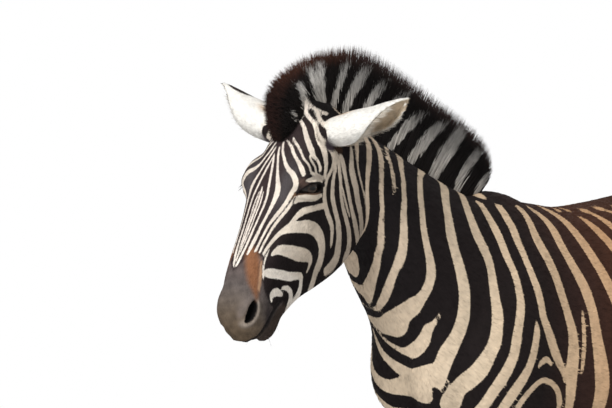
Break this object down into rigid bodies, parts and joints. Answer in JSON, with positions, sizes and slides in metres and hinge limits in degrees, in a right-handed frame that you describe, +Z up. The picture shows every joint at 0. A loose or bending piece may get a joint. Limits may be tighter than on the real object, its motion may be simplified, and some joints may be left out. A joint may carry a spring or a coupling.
{
  "type": "zebra",
  "caption": "Life-size still zebra standing square, neck half raised and face pointing steeply down, with an upright mane, ears turned out to the sides and a tufted tail.",
  "frame": {"origin": "on the floor, under the middle of the zebra's overall box", "axes": "+Z up, the zebra looks along -X, and its left side is -Y"},
  "size_m": [1.8646, 0.5295, 1.62],
  "materials": {
    "coat": "short hair lying close, in dark brown-black and cream stripes, with a grey-brown muzzle",
    "long_hair": "stiff standing hair of the mane and loose hair of the tail tuft, dark brown with pale bands",
    "hoof": "dark grey horn, lightly ridged",
    "eye": "wet and glossy, very dark brown"
  },
  "bodies": {
    "root": {"head": "coat", "neck": "coat", "trunk": "coat", "leg_front_left": "coat", "leg_front_right": "coat", "leg_hind_left": "coat", "leg_hind_right": "coat", "hoof_front_left": "hoof", "hoof_front_right": "hoof", "hoof_hind_left": "hoof", "hoof_hind_right": "hoof", "ear_left": "coat", "ear_right": "coat", "eye_left": "eye", "eye_right": "eye", "mane": "long_hair", "tail": "coat", "tail_tuft": "long_hair"}
  },
  "joints": []
}
